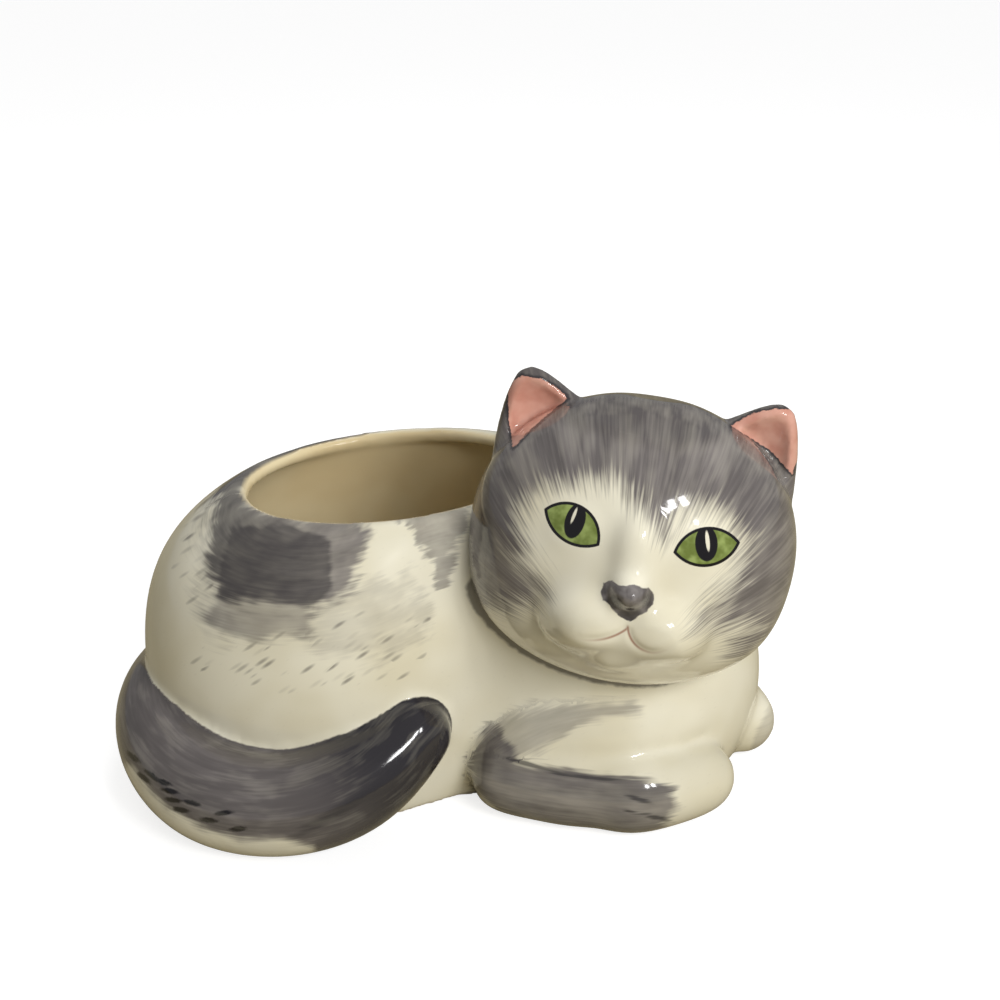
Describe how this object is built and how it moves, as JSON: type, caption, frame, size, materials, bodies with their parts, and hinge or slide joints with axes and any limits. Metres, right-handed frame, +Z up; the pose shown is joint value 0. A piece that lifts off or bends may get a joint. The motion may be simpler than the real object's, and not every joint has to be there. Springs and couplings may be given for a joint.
{
  "type": "animal shaped planter",
  "caption": "Glazed ceramic planter in the shape of a curled, resting cat, with an oval planting well open in its back and its head turned to one side.",
  "frame": {"origin": "on the ground under the middle of the figure's bounding box", "axes": "+Z up, +X along the body from the rump to the chest, -Y out of the right flank, the way the face looks"},
  "size_m": [0.2658, 0.167, 0.1715],
  "materials": {
    "body_glaze": "glossy ivory glaze with grey brushwork",
    "head_glaze": "glossy ivory glaze with a grey painted crown and cheeks",
    "ear_glaze": "glossy pink inside and grey back",
    "tail_glaze": "glossy dark grey brushwork",
    "foreleg_glaze": "glossy ivory glaze with grey brushwork",
    "paw_glaze": "glossy ivory glaze"
  },
  "bodies": {
    "root": {"body_pot": "body_glaze", "head_shell": "head_glaze", "left_ear": "ear_glaze", "right_ear": "ear_glaze", "tail": "tail_glaze", "right_foreleg": "foreleg_glaze", "left_foreleg": "paw_glaze"}
  },
  "joints": []
}
